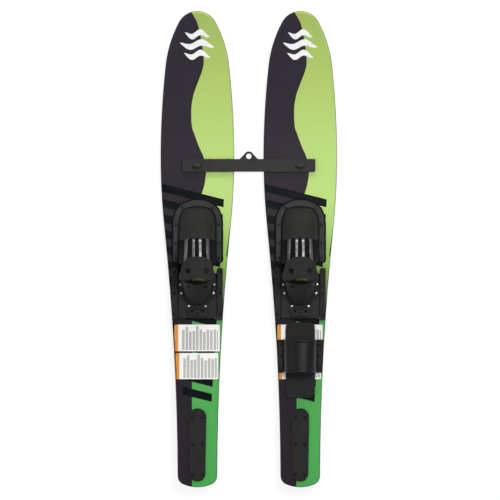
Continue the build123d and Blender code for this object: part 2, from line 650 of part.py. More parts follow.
on_both = {
    "tail_plate": tail_plate, "tail_screws": tail_screws, "fin": fin,
    "toe_frame": toe_frame, "toe_frame_screws": frame_screws, "toe_overlay": toe_overlay,
    "footbed": footbed, "instep_panel": instep_panel, "pull_tab": pull_tab, "rail_screws": rail_screws,
    "lock_rack": lock_rack, "rack_screws": rack_screws, "heel_plate": heel_plate,
    "heel_cup": heel_cup, "heel_rivets": heel_rivets, "lock_lever": lock_lever,
    "lever_pin": lever_pin, "lever_springs": lever_springs, "bar_insert": bar_insert,
    "bar_washer": bar_washer, "bar_knob": bar_knob, "knob_stud": knob_stud,
}
on_left = {
    "ski": blank, "outer_rail": heel_rail(-1), "inner_rail": heel_rail(1),
    "binding_inserts": copies(brass_insert, frame_screw_spots + rail_screw_spots, deck),
}
on_right = {
    "ski": combo_blank, "outer_rail": heel_rail(1), "inner_rail": heel_rail(-1),
    "binding_inserts": copies(brass_insert, frame_screw_spots + rail_screw_spots + strap_screw_spots, deck),
    "rear_foot_pad": rear_foot_pad, "rear_toe_strap": rear_toe_strap, "rear_strap_screws": strap_screws,
    "rear_outer_strap_plate": strap_plate(1), "rear_inner_strap_plate": strap_plate(-1),
}

os.makedirs("parts", exist_ok=True)
write("trainer_bar", trainer_bar.part, ski_place(-1))
for side, word, own in ((-1, "left", on_left), (1, "right", on_right)):
    for name, piece in (on_both | own).items():
        write(f"{word}_{name}", piece.part, ski_place(side))
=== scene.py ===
import json
import math

import bmesh
import bpy
import numpy as np
from mathutils import Matrix, Vector
from mathutils.bvhtree import BVHTree


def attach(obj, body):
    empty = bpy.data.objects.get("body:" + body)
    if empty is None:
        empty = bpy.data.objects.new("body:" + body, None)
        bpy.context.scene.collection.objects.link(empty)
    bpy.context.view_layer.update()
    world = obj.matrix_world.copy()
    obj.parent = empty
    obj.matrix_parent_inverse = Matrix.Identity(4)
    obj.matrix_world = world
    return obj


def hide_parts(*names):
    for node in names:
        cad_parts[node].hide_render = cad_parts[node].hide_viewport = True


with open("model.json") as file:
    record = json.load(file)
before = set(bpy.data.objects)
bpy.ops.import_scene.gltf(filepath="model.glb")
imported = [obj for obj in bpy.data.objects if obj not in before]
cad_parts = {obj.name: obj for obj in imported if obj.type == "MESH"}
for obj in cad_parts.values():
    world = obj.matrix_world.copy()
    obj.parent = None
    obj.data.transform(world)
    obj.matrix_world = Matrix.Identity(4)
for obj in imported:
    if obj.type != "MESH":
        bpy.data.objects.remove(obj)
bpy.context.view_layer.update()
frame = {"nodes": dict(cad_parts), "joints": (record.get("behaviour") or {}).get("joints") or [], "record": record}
nodes = frame["nodes"]
joints = {joint["name"]: joint for joint in frame["joints"]}

# Shapes and prints are worked out in a ski's own frame, in millimetres: x across from the centreline,
# s from the tail's end towards the tip, z up from the flat of the base.
MM = 0.001
DECK = 15
SKI_LENGTH = 1168
KNOB = Vector((0, 790, 22))  # where the trainer bar's knob turns
PLATE_TOP = 22.8  # top of the heel carriage's plate
ARCH_POWER = 2.6  # of the superellipse that a moulded arch follows


def ski_place(word):
    """The matrix from a ski's own frame, in millimetres, to the row frame, in metres."""
    joint = joints[f"{word}_knob_turn"]
    up = Vector(joint["axis"]).normalized()
    turn = Matrix((Vector((1, 0, 0)), Vector((0, up.z, -up.y)), up)).transposed()
    base = Vector(joint["pos_m"]) - (turn @ KNOB) * MM
    return Matrix.Translation(base) @ turn.to_4x4() @ Matrix.Scale(MM, 4)


WORDS = ("left", "right")
place = {word: ski_place(word) for word in WORDS}
deck_up = Vector(joints["left_knob_turn"]["axis"]).normalized()


# ---------------------------------------------------------------- camera and light
PHOTO_SPAN = 1.2274  # width of the photograph at the deck, in metres
DISTANCE = 30.0  # metres, far enough that the view is almost parallel
SENSOR = 36  # millimetres
LOOK_AT = Vector((0.0029, 582.6, 15))  # x in metres from the middle of the pair, s and z in millimetres

middle = place["left"] @ Vector((0, LOOK_AT.y, LOOK_AT.z))
target = Vector((LOOK_AT.x, middle.y, middle.z))
camera = bpy.data.objects.new("Camera", bpy.data.cameras.new("Camera"))
camera.data.sensor_width = SENSOR
camera.data.lens = SENSOR * DISTANCE / PHOTO_SPAN
camera.data.clip_end = 200
camera.location = target + deck_up * DISTANCE
camera.rotation_euler = (-math.asin(deck_up.y), 0, 0)
bpy.context.scene.collection.objects.link(camera)
bpy.context.scene.camera = camera


def soft_light(name, location, width, height, power):
    """A rectangular area light that points at the middle of the pair."""
    light = bpy.data.lights.new(name, "AREA")
    light.shape, light.size, light.size_y, light.energy = "RECTANGLE", width, height, power
    holder = bpy.data.objects.new(name, light)
    holder.location = location
    holder.rotation_euler = (target - holder.location).to_track_quat("-Z", "Y").to_euler()
    bpy.context.scene.collection.objects.link(holder)


soft_light("KeyLight", Vector((0.9, 1.0, 3.3)), 1.2, 1.2, 62)
soft_light("FillLight", Vector((-2.2, -0.8, 2.6)), 2.4, 2.4, 28)
soft_light("TipLight", Vector((0.22, 3.1, 1.25)), 1.5, 1.0, 48)

bpy.context.scene.view_settings.view_transform = "Standard"
world = bpy.data.worlds.new("Studio")
bpy.context.scene.world = world
world.use_nodes = True


# ---------------------------------------------------------------- materials
def srgb(red, green, blue):
    """A colour given as 0 to 255 in sRGB, as the linear colour that Blender takes."""
    parts = [value / 255 for value in (red, green, blue)]
    return [p / 12.92 if p <= 0.04045 else ((p + 0.055) / 1.055) ** 2.4 for p in parts] + [1.0]


class Graph:
    """A node tree with short names for what the materials here need."""

    def __init__(self, tree):
        self.tree = tree

    def node(self, kind, inputs=None, **settings):
        made = self.tree.nodes.new("ShaderNode" + kind)
        for key, value in settings.items():
            setattr(made, key, value)
        for key, value in (inputs or {}).items():
            if isinstance(value, bpy.types.NodeSocket):
                self.tree.links.new(value, made.inputs[key])
            else:
                made.inputs[key].default_value = value
        return made

    def math(self, operation, *values):
        return self.node("Math", dict(enumerate(values)), operation=operation).outputs[0]

    def ramp(self, value, low, high, to_low=0.0, to_high=1.0):
        inputs = {0: value, 1: low, 2: high, 3: to_low, 4: to_high}
        return self.node("MapRange", inputs).outputs[0]

    def mix(self, share, first, second, blend="MIX"):
        inputs = {0: share, 6: first, 7: second}
        return self.node("Mix", inputs, data_type="RGBA", blend_type=blend).outputs[2]

    def noise(self, vector, scale, detail=2.0, roughness=0.5):
        inputs = {"Vector": vector, "Scale": scale, "Detail": detail, "Roughness": roughness}
        return self.node("TexNoise", inputs).outputs[0]

    def stretched(self, vector, scale):
        return self.node("Mapping", {"Vector": vector, "Scale": scale}).outputs[0]

    def gradient(self, value, stops):
        """Colours along a value from 0 to 1: stops are (value, colour)."""
        made = self.node("ValToRGB", {0: value})
        elements = made.color_ramp.elements
        while len(elements) < len(stops):
            elements.new(1.0)
        for element, (position, colour) in zip(elements, stops):
            element.position, element.color = position, colour
        return made.outputs[0]


class Finish(Graph):
    """A material: a Principled shader with its constants set on its own sockets, and nodes for the rest."""

    def __init__(self, name, **constants):
        self.material = bpy.data.materials.new(name)
        self.material.use_nodes = True
        super().__init__(self.material.node_tree)
        self.shader = self.tree.nodes["Principled BSDF"]
        for key, value in constants.items():
            self.shader.inputs[key.replace("_", " ")].default_value = value
        self.object = self.node("TexCoord").outputs["Object"]

    def feed(self, **sockets):
        for key, value in sockets.items():
            self.tree.links.new(value, self.shader.inputs[key.replace("_", " ")])
        return self.material

    def bump(self, height, depth, strength=1.0, under=None):
        """A normal from a height of 0 to 1 that stands for depth millimetres."""
        inputs = {"Height": height, "Distance": depth * MM, "Strength": strength}
        if under is not None:
            inputs["Normal"] = under
        return self.node("Bump", inputs).outputs[0]

    def ski_frame(self, word):
        """x, s and z in a ski's own frame, in millimetres."""
        inverse = place[word].inverted()
        inputs = {
            "Vector": self.object, "Location": inverse.translation,
            "Rotation": inverse.to_3x3().normalized().to_euler(), "Scale": (1 / MM,) * 3,
        }
        local = self.node("Mapping", inputs).outputs[0]
        return local, self.node("SeparateXYZ", {0: local}).outputs


def moulded(name, colour, roughness, grain, depth, variation=0.16, specular=0.14, wear=0.12, **constants):
    """Moulded plastic or rubber: cloudy colour, scuffs, worn edges and a fine grain.

    The grain's size and depth are in millimetres.
    """
    f = Finish(name, Specular_IOR_Level=specular, **constants)
    fine = f.noise(f.object, 1 / (grain * MM), 3.0, 0.6)
    cloud = f.noise(f.object, 45.0, 3.0)
    scuffs = f.noise(f.stretched(f.object, (900, 110, 500)), 1.0, 2.0)
    scuffed = f.ramp(scuffs, 0.62, 0.72)
    corner = f.ramp(f.node("NewGeometry").outputs["Pointiness"], 0.53, 0.60)
    dark = [c * (1 - variation) for c in colour[:3]] + [1]
    light = [c * (1 + variation) for c in colour[:3]] + [1]
    worn = [min(c * 2.2 + 0.01, 1) for c in colour[:3]] + [1]
    base = f.mix(f.ramp(cloud, 0.3, 0.7), dark, light)
    base = f.mix(f.math("MULTIPLY", fine, 2 * wear), base, worn)
    base = f.mix(f.math("MULTIPLY", corner, wear), base, worn)
    rough = f.ramp(cloud, 0.25, 0.75, roughness - 0.05, roughness + 0.05)
    rough = f.math("ADD", rough, f.math("MULTIPLY", scuffed, 0.06))
    return f.feed(Base_Color=base, Roughness=rough, Normal=f.bump(fine, depth, 0.7))


def metal(name, colour, roughness, scale=(2600, 260, 2600)):
    """Turned or brushed metal: fine streaks in its gloss and relief, and a little grime."""
    f = Finish(name, Metallic=1.0)
    streaks = f.noise(f.stretched(f.object, scale), 1.0, 3.0)
    grime = f.ramp(f.noise(f.object, 260.0, 3.0), 0.45, 0.75)
    base = f.mix(grime, colour, [c * 0.62 for c in colour[:3]] + [1])
    rough = f.ramp(streaks, 0.3, 0.7, roughness - 0.08, roughness + 0.1)
    return f.feed(Base_Color=base, Roughness=rough, Normal=f.bump(streaks, 0.02, 0.4))


# The line between dark and green on the deck. From the tail to TAIL_EDGE_FRONT it is straight, at an x of
# its own on each ski, and then it passes through PRINT_EDGE, as (s, x).
TAIL_EDGE, TAIL_EDGE_FRONT = {"left": -12.8, "right": -9.5}, 405
PRINT_EDGE = [
    (560, -11.5), (680, -2), (721, 10.8), (750, 18.7), (772, 21.4), (784, 22.3),
    (806, 16.9), (839, 2.9), (870, -8.1), (889, -13.7), (921, -15), (952, -11.8), (977, -4.9),
    (1011, 8.0), (1027, 13.2), (1043, 15.5), (1086, 11.3), (1130, 2.9), (1163, -12.8), (1168, -15),
]
EDGE_REACH = 40  # furthest x that the line can have, either side
# Colours along the deck: (s, sRGB colour). Past s = 790 the greens darken towards the tip: painted shade of the
# tip's upward curve.
GREENS = [
    (0, (76, 168, 84)), (240, (84, 171, 86)), (402, (95, 162, 92)), (496, (112, 152, 79)),
    (533, (133, 176, 84)), (570, (156, 201, 99)), (643, (178, 213, 122)), (716, (183, 215, 124)),
    (790, (181, 213, 121)), (877, (179, 207, 117)), (1024, (173, 200, 106)), (1160, (167, 190, 100)),
]
DARKS = [(0, (41, 35, 42)), (400, (43, 37, 43)), (1168, (51, 46, 55))]
# The slanted stripes: front edge of the first at x = 0, spacing, slant, dark share of the spacing, and number
STRIPE_TOP, STRIPE_PITCH, STRIPE_SLANT, STRIPE_SHARE, STRIPE_COUNT = 723.4, 37.3, 0.255, 0.53, 14
STRIPE_RIGHT, STRIPE_FLARE = 22.4, 0.0605  # x where they end at s = 0, and how it grows with s
LOW_STRIPES, LOW_STRIPE_LEFT = 2.0, -36.0  # how many at the tail start at an x of their own, and that x


def deck_print(word):
    """The ski's finish: printed laminate on the deck, and dark edges and base."""
    f = Finish(f"ski_laminate_{word}", Specular_IOR_Level=0.07)
    local, (x, s, _) = f.ski_frame(word)
    share = f.math("DIVIDE", s, float(SKI_LENGTH))

    edge = f.node("FloatCurve", {1: share})
    line = [(0, TAIL_EDGE[word]), (TAIL_EDGE_FRONT, TAIL_EDGE[word])] + PRINT_EDGE
    spots = [(at / SKI_LENGTH, (across + EDGE_REACH) / (2 * EDGE_REACH)) for at, across in line]
    points = edge.mapping.curves[0].points
    for spot in spots[1:-1]:
        points.new(*spot)
    points[0].location, points[-1].location = spots[0], spots[-1]
    edge.mapping.update()
    edge_x = f.ramp(edge.outputs[0], 0.0, 1.0, -EDGE_REACH, EDGE_REACH)
    green_side = f.ramp(f.math("SUBTRACT", x, edge_x), -0.2, 0.2)

    def along(colours):
        return f.gradient(share, [(at / SKI_LENGTH, srgb(*colour)) for at, colour in colours])

    slanted = f.math("ADD", s, f.math("MULTIPLY", x, STRIPE_SLANT))
    count = f.math("DIVIDE", f.math("SUBTRACT", STRIPE_TOP, slanted), STRIPE_PITCH)
    striped = f.math("LESS_THAN", f.math("FRACT", count), STRIPE_SHARE)
    started = f.math("GREATER_THAN", count, 0.0)
    within = f.math("MULTIPLY", started, f.math("LESS_THAN", count, float(STRIPE_COUNT)))
    right_end = f.math("LESS_THAN", x, f.math("MULTIPLY_ADD", s, STRIPE_FLARE, STRIPE_RIGHT))
    lowest = f.math("GREATER_THAN", count, STRIPE_COUNT - LOW_STRIPES)
    past_left = f.math("GREATER_THAN", x, LOW_STRIPE_LEFT)
    left_end = f.math("MAXIMUM", past_left, f.math("SUBTRACT", 1.0, lowest))
    for mask in (within, right_end, left_end):
        striped = f.math("MULTIPLY", striped, mask)

    cloud = f.noise(local, 0.02, 2.0)
    colour = f.mix(green_side, along(DARKS), along(GREENS))
    colour = f.mix(striped, colour, srgb(7, 12, 16))
    colour = f.mix(f.math("MULTIPLY", cloud, 0.02), colour, srgb(120, 120, 120))

    normal = f.node("TexCoord").outputs["Normal"]
    facing = f.node("VectorMath", {0: normal, 1: deck_up}, operation="DOT_PRODUCT")
    on_deck = f.ramp(facing.outputs["Value"], 0.66, 0.74)
    on_base = f.ramp(facing.outputs["Value"], -0.66, -0.74)
    body = f.mix(on_base, srgb(40, 33, 40), srgb(30, 29, 33))
    colour = f.mix(on_deck, body, colour)

    hairs = f.noise(f.stretched(f.object, (700, 9, 300)), 1.0, 3.0)
    scratched = f.ramp(hairs, 0.66, 0.72)
    rough = f.math("ADD", f.ramp(cloud, 0.3, 0.7, 0.30, 0.36), f.math("MULTIPLY", scratched, 0.10))
    peel = f.noise(f.object, 260.0, 1.0)
    return f.feed(Base_Color=colour, Roughness=rough, Normal=f.bump(peel, 0.05, 0.25))


# Stickers on the deck: (lowest s, highest s, left x, right x)
STICKERS = {"upper": (334, 399.5, -56.4, 54.8), "lower": (265.5, 329.5, -53.3, 51)}
STICKER_CORNER = 2.5
# Widths of the orange band, of the blank beside it and of a column, the edge's margin, and how far the
# columns' tops vary
BAND, BLANK, COLUMN, MARGIN, RAGGED = 9.2, 10.0, 8.6, 3.4, 16.0
BAR_SHARE = 0.72  # of a column, or of a line in it, that is grey


def sticker_vinyl(word, which):
    """A plain white vinyl sticker without lettering: an orange band on the left and columns of grey bars."""
    low, high, left, right = STICKERS[which]
    f = Finish(f"sticker_{which}_{word}", Specular_IOR_Level=0.35)
    local, (x, s, _) = f.ski_frame(word)
    across = f.math("DIVIDE", f.math("SUBTRACT", x, left + BAND + BLANK), COLUMN)
    place_in = f.math("FRACT", across)
    line = f.math("FRACT", f.math("MULTIPLY", place_in, 3.0))
    in_column, in_line = (f.math("LESS_THAN", share, BAR_SHARE) for share in (place_in, line))
    bar = f.math("MULTIPLY", in_column, in_line)
    ragged = f.node("TexWhiteNoise", {"W": f.math("FLOOR", across)}, noise_dimensions="1D").outputs[0]
    top = f.math("LESS_THAN", s, f.math("MULTIPLY_ADD", ragged, -RAGGED, high - MARGIN))
    foot = f.math("GREATER_THAN", s, low + MARGIN)
    inside = f.math("GREATER_THAN", across, 0.0)
    end = f.math("LESS_THAN", x, right - MARGIN)
    for mask in (top, foot, inside, end):
        bar = f.math("MULTIPLY", bar, mask)
    ink = f.noise(local, 0.8, 3.0)
    paper = f.mix(f.math("MULTIPLY", f.noise(local, 0.05), 0.4), srgb(252, 252, 250), srgb(238, 237, 233))
    colour = f.mix(f.math("MULTIPLY", bar, f.ramp(ink, 0.3, 0.7, 0.6, 1.0)), paper, srgb(122, 118, 114))
    orange = f.mix(f.ramp(ink, 0.35, 0.65), srgb(232, 158, 66), srgb(216, 140, 48))
    colour = f.mix(f.math("LESS_THAN", x, left + BAND), colour, orange)
    rough = f.ramp(ink, 0.3, 0.7, 0.36, 0.44)
    return f.feed(Base_Color=colour, Roughness=rough, Normal=f.bump(ink, 0.02, 0.3))


def white_ink():
    """The white print of the emblem."""
    f = Finish("emblem_ink", Specular_IOR_Level=0.35)
    cloud = f.noise(f.object, 140.0, 3.0)
    colour = f.mix(f.ramp(cloud, 0.3, 0.7), srgb(250, 250, 250), srgb(238, 238, 238))
    rough = f.ramp(cloud, 0.3, 0.7, 0.30, 0.40)
    return f.feed(Base_Color=colour, Roughness=rough, Normal=f.bump(cloud, 0.02, 0.3))


finishes = {
    "black_plastic": moulded("black_plastic", srgb(31, 29, 29), 0.46, 0.45, 0.03),
    "fin_plastic": moulded("fin_plastic", srgb(32, 32, 34), 0.40, 0.40, 0.03, specular=0.3),
    "bar_plastic": moulded("bar_plastic", srgb(38, 38, 37), 0.50, 0.50, 0.03),
    "black_rubber": moulded("black_rubber", srgb(33, 33, 32), 0.62, 0.70, 0.05, specular=0.12),
    # The flange's finish: the overlay's own rubber made near-black, painted shade of the flange's shadowed step.
    "flange_painted_shade": moulded("flange_painted_shade", srgb(14, 14, 16), 0.70, 0.70, 0.05, specular=0.06),
    # The grooves' finish: a near-black copy of the overlay's rubber, painted shade in the panel's grooves and
    # flanks and in the heel cup's dents.
    "groove_painted_shade": moulded("groove_painted_shade", srgb(14, 14, 15), 0.72, 0.70, 0.04, specular=0.05, wear=0.05),
    "gloss_rubber": moulded(
        "gloss_rubber", srgb(26, 26, 28), 0.25, 1.6, 0.003, 0.05, specular=0.9, wear=0.02,
    ),
    "strap_rubber": moulded("strap_rubber", srgb(18, 18, 18), 0.40, 0.70, 0.04, specular=0.17, wear=0.05),
    "pad_rubber": moulded("pad_rubber", srgb(38, 37, 36), 0.70, 1.1, 0.16, specular=0.12),
    "screw_black": metal("screw_black", srgb(46, 46, 50), 0.30),
    "screw_steel": metal("screw_steel", srgb(150, 150, 152), 0.36),
    "rivet_aluminium": metal("rivet_aluminium", srgb(226, 226, 230), 0.26, (900, 900, 900)),
    "brass": metal("brass", srgb(205, 172, 98), 0.34),
}
# Nodes whose finish differs from the rest of their slot
own_finish = {
    "lever_pin": finishes["screw_black"],
    "lever_springs": finishes["screw_black"],
    "toe_frame": moulded("frame_plastic", srgb(46, 44, 46), 0.44, 0.45, 0.03),
    "tail_plate": moulded("tail_plate_plastic", srgb(29, 29, 28), 0.46, 0.45, 0.03),
    "heel_plate": moulded("heel_plate_plastic", srgb(34, 34, 33), 0.46, 0.45, 0.03),
    "lock_lever": moulded("lever_plastic", srgb(32, 32, 31), 0.42, 0.45, 0.03),
    "bar_knob": moulded("knob_plastic", srgb(44, 43, 43), 0.40, 0.45, 0.03),
}
for word in WORDS:
    finishes[f"ski_{word}"] = deck_print(word)
slot_of = {row["node"]: row["material_slot"] for row in frame["record"]["subparts"]}
for name, holder in nodes.items():
    word, _, kind = name.partition("_")
    slot = f"ski_{word}" if kind == "ski" else slot_of[name]
    holder.data.materials.clear()
    holder.data.materials.append(own_finish.get(kind, finishes.get(slot)))


# ---------------------------------------------------------------- mesh code
def smooth(knots, at):
    """A monotone cubic curve through knots of (position, value), at the positions asked for."""
    xs, ys = np.array(knots, float).T
    step, slope = np.diff(xs), np.diff(ys) / np.diff(xs)
    tangent = np.concatenate(([slope[0]], np.zeros(len(xs) - 2), [slope[-1]]))
    for i in range(1, len(xs) - 1):
        if slope[i - 1] * slope[i] > 0:
            a, b = 2 * step[i] + step[i - 1], step[i] + 2 * step[i - 1]
            tangent[i] = (a + b) / (a / slope[i - 1] + b / slope[i])
    k = np.clip(np.searchsorted(xs, at) - 1, 0, len(step) - 1)
    t = (np.clip(at, xs[0], xs[-1]) - xs[k]) / step[k]
    return (
        (2 * t**3 - 3 * t**2 + 1) * ys[k] + (t**3 - 2 * t**2 + t) * step[k] * tangent[k]
        + (3 * t**2 - 2 * t**3) * ys[k + 1] + (t**3 - t**2) * step[k] * tangent[k + 1]
    )


def shell(outer, inner, rim=4):
    """The closed wall between two grids of points, its free edges rounded: (points, faces)."""
    rows, cols = outer.shape[:2]
    around = [(0, j) for j in range(cols)] + [(i, cols - 1) for i in range(1, rows)]
    around += [(rows - 1, j) for j in range(cols - 2, -1, -1)] + [(i, 0) for i in range(rows - 2, 0, -1)]
    near = [(min(max(i, 1), rows - 2), min(max(j, 1), cols - 2)) for i, j in around]
    mid, half = (outer + inner) / 2, (outer - inner) / 2
    centre, arm = np.array([mid[k] for k in around]), np.array([half[k] for k in around])
    out = centre - np.array([mid[k] for k in near])
    arm_length, out_length = (np.linalg.norm(vectors, axis=1, keepdims=True) for vectors in (arm, out))
    out *= arm_length / np.maximum(out_length, 1e-6)
    turns = [math.pi * k / (rim + 1) for k in range(1, rim + 1)]
    rings = [centre + arm * math.cos(turn) + out * math.sin(turn) for turn in turns]
    points = np.concatenate([outer.reshape(-1, 3), inner.reshape(-1, 3)] + rings)
    count, length = rows * cols, len(around)
    loops = [[i * cols + j for i, j in around]]
    loops += [[2 * count + k * length + n for n in range(length)] for k in range(rim)]
    loops += [[count + i * cols + j for i, j in around]]
    faces = []
    for i in range(rows - 1):
        for j in range(cols - 1):
            a = i * cols + j
            quad = [a, a + 1, a + cols + 1, a + cols]
            faces += [quad, [count + v for v in reversed(quad)]]
    for one, other in zip(loops, loops[1:]):
        for n in range(length):
            m = (n + 1) % length
            faces.append([one[m], one[n], other[n], other[m]])
    return points, faces


def merged(*parts):
    """Several (points, faces) as one."""
    points, faces, start = [], [], 0
    for some, corners in parts:
        points.append(np.asarray(some, float))
        faces += [[start + v for v in face] for face in corners]
        start += len(some)
    return np.concatenate(points), faces


def taken_from(bm):
    """A bmesh as (points, faces). It is freed."""
    bm.verts.index_update()
    made = np.array([v.co for v in bm.verts], float), [[v.index for v in face.verts] for face in bm.faces]
    bm.free()
    return made


def slab(outlines, low, high, bevel, segments=3):
    """A flat plate between two heights with rounded edges. The first outline is its rim, others are holes."""
    bm = bmesh.new()
    for outline in outlines:
        ring = [bm.verts.new((x, s, low)) for x, s in outline]
        for a, b in zip(ring, ring[1:] + ring[:1]):
            bm.edges.new((a, b))
    bmesh.ops.triangle_fill(bm, edges=bm.edges, use_beauty=True)
    grown = bmesh.ops.extrude_face_region(bm, geom=list(bm.faces))
    raised = [v for v in grown["geom"] if isinstance(v, bmesh.types.BMVert)]
    bmesh.ops.translate(bm, vec=(0, 0, high - low), verts=raised)
    bmesh.ops.recalc_face_normals(bm, faces=bm.faces)
    if bevel:
        rims = [e for e in bm.edges if len(e.link_faces) == 2 and e.calc_face_angle(0) > 1.2]
        bmesh.ops.bevel(bm, geom=rims, offset=bevel, segments=segments, profile=0.5, affect="EDGES")
    return taken_from(bm)


def remeshed(part, voxel, passes):
    """A closed body as an even, softly smoothed mesh: (points, faces)."""
    mesh = bpy.data.meshes.new("remesh")
    mesh.from_pydata([tuple(p) for p in part[0]], [], part[1])
    holder = bpy.data.objects.new("remesh", mesh)
    bpy.context.scene.collection.objects.link(holder)
    grid = holder.modifiers.new("Remesh", "REMESH")
    grid.mode, grid.voxel_size = "VOXEL", voxel
    soften = holder.modifiers.new("Smooth", "SMOOTH")
    soften.factor, soften.iterations = 0.5, passes
    bpy.context.view_layer.update()
    evaluated = holder.evaluated_get(bpy.context.evaluated_depsgraph_get())
    made = bpy.data.meshes.new_from_object(evaluated)
    points = np.array([v.co for v in made.vertices], float)
    faces = [list(face.vertices) for face in made.polygons]
    bpy.data.objects.remove(holder)
    bpy.data.meshes.remove(mesh)
    bpy.data.meshes.remove(made)
    return points, faces


def make(name, part, word, body, finish, stands_for=None, sharp=48, second=None):
    """A piece from (points, faces) in a ski's own frame, riding on a body of that ski.

    second is another finish and a rule that picks its faces by their centre in the ski's frame.
    """
    mesh = bpy.data.meshes.new(name)
    mesh.from_pydata([place[word] @ Vector(point) for point in part[0]], [], part[1])
    bm = bmesh.new()
    bm.from_mesh(mesh)
    bmesh.ops.remove_doubles(bm, verts=bm.verts, dist=0.02 * MM)
    bmesh.ops.dissolve_degenerate(bm, edges=bm.edges, dist=0.01 * MM)
    bmesh.ops.delete(bm, geom=[e for e in bm.edges if not e.link_faces], context="EDGES")
    bmesh.ops.delete(bm, geom=[v for v in bm.verts if not v.link_faces], context="VERTS")
    bmesh.ops.recalc_face_normals(bm, faces=bm.faces)
    for face in bm.faces:
        face.smooth = True
    bm.to_mesh(mesh)
    bm.free()
    mesh.set_sharp_from_angle(angle=math.radians(sharp))
    mesh.materials.append(finish)
    if second:
        mesh.materials.append(second[0])
        inverse = place[word].inverted()
        for face in mesh.polygons:
            face.material_index = int(second[1](inverse @ face.center))
    piece = bpy.data.objects.new(name, mesh)
    bpy.context.scene.collection.objects.link(piece)
    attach(piece, f"{word}_{body}")
    if stands_for:
        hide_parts(f"{word}_{stands_for}")
    return piece


def gauss(value, centre, width):
    """A smooth bump of height 1 round a centre."""
    return np.exp(-(((value - centre) / width) ** 2))


def arch_points(half_width, height, angle):
    """x and z of a superellipse, from its left foot at angle pi to its right foot at 0."""
    c, s = np.cos(angle), np.sin(angle)
    power = 2 / ARCH_POWER
    return half_width * np.sign(c) * np.abs(c) ** power, height * np.clip(s, 0, 1) ** power


def arc(centre, radius, start, end, count):
    """Points of a plan arc between two angles in degrees."""
    angles = np.radians(np.linspace(start, end, count))
    return [(centre[0] + radius * math.cos(a), centre[1] + radius * math.sin(a)) for a in angles]


# ---------------------------------------------------------------- front binding
# The toe frame's bends: (half width, furthest s, radii of the sides, corners and crown), and the lean in
# degrees of each side where its corner starts
FRAME_OUTSIDE, OUTSIDE_LEAN = (59.3, 705, 80, 40, 70), 22
FRAME_INSIDE, INSIDE_LEAN = (46.5, 689.7, 60, 12, 90), 35
# The overlay's flange: thickness, how far it shows outside the frame and inside it, its rear end and corners
FLANGE, FLANGE_MARGIN, FLANGE_INSIDE, FLANGE_REAR, FLANGE_CORNER = 2.5, 4, 4, 551, 8
OVERLAY_REAR, RUBBER, DOME_GAP = 553, 3.6, 1.5
DOME_LIFT, DOME_SQUASH = 1.9, 0.985  # how far the dome is raised, and the factor on its height
# Height of the overlay above the deck along s, before its front is rounded off
OVERLAY_HEIGHT = [(553, 92), (572, 80), (590, 66), (609, 52), (630, 44.3), (657, 38.5), (688, 33)]
NOSE_START = 640
PANEL_FRONT, PANEL_THICKNESS, PANEL_FOOT = 611, 2.4, 20
PANEL_SWEEP = 6.5  # how far the panel's front edge sweeps back at its sides
# The panel's ribs: x at its front, how much they spread towards its rear, and their shape
RIBS, RIB_SPREAD = (-27.0, -8.8, 6.8, 25.0), 0.10
RIB_HALF_WIDTH, RIB_FLANK, RIB_HEIGHT = 4.2, 1.2, 1.9
# The panel's mesh: half width of its ribbed part, points across that part, and points across each flank
RIB_ZONE, RIB_POINTS, FLANK_POINTS = 32, 157, 40
TAB_HEIGHT, TAB_SLOPE, TAB_CROWN, TAB_THICKNESS, TAB_FRONT, TAB_REAR = 96, 6, 92, 5, 567, 507.5
FINGER_HOLES, FINGER_RADIUS = ((-22.6, 531), (22.6, 531)), 6.3


def bend_arcs(shape, lean, grown):
    """The right half of a bend: (centre, radius, first and last angle in degrees) of its three arcs."""
    half_width, top, side, corner, crown = [size + grown for size in shape]
    turn = math.radians(lean)
    corner_x = half_width - side * (1 - math.cos(turn))
    last = math.acos((corner_x - corner * math.cos(turn)) / (crown - corner))
    corner_s = top - crown * (1 - math.sin(last)) - corner * math.sin(last)
    side_s = corner_s + (corner - side) * math.sin(turn)
    return [
        ((half_width - side, side_s), side, 0, lean),
        ((corner_x - corner * math.cos(turn), corner_s), corner, lean, math.degrees(last)),
        ((0, top - crown), crown, math.degrees(last), 90),
    ]


def bend(shape, lean, grown, count=12):
    """A bend's outline grown outwards, from the right leg's start round to the left's."""
    right = [point for one in bend_arcs(shape, lean, grown) for point in arc(*one, count)[:-1]]
    return right + [(0, shape[1] + grown)] + [(-x, s) for x, s in reversed(right)]


def toe_half_width(s, inset):
    """Half width of the dome's outline at s, inset from the frame's inner edge."""
    wide = np.full(np.shape(s), FRAME_INSIDE[0] - inset, float)
    for (x, y), radius, first, _ in bend_arcs(FRAME_INSIDE, INSIDE_LEAN, -inset):
        on_arc = x + np.sqrt(np.clip(radius**2 - (s - y) ** 2, 0, None))
        wide = np.where(s > y + radius * math.sin(math.radians(first)), on_arc, wide)
    return wide


def toe_height(s, inset):
    """Height of the dome's top above the deck at s."""
    nose = (s - NOSE_START) / (FRAME_INSIDE[1] - DOME_GAP - inset - NOSE_START)
    return (smooth(OVERLAY_HEIGHT, s) - inset) * np.sqrt(np.clip(1 - np.clip(nose, 0, 1) ** 2, 0, 1))


def toe_dome(inset, rows=72, cols=57):
    """One face of the overlay's dome as a grid of points, from the nose to its open rear."""
    nose = FRAME_INSIDE[1] - DOME_GAP - inset
    v, angle = np.meshgrid(np.linspace(0, 1, rows), np.linspace(math.pi, 0, cols), indexing="ij")
    s = nose - (nose - OVERLAY_REAR) * v**1.75
    bead = 0.9 * gauss(s, OVERLAY_REAR + 2.5, 2.2) + 0.7 * gauss(s, PANEL_FRONT + 2.2, 1.1)
    grown = bead if inset == 0 else 0
    x, z = arch_points(toe_half_width(s, DOME_GAP + inset) + grown, toe_height(s, inset) + grown, angle)
    foot = 1.6 * gauss(z, 0, 3.0) * (1 if inset == 0 else 0) * np.clip(toe_half_width(s, DOME_GAP) / 20, 0, 1)
    x = x + np.sign(x) * np.minimum(foot, 1.2)
    return np.stack([x, s, DECK + DOME_LIFT + z * DOME_SQUASH], axis=2)


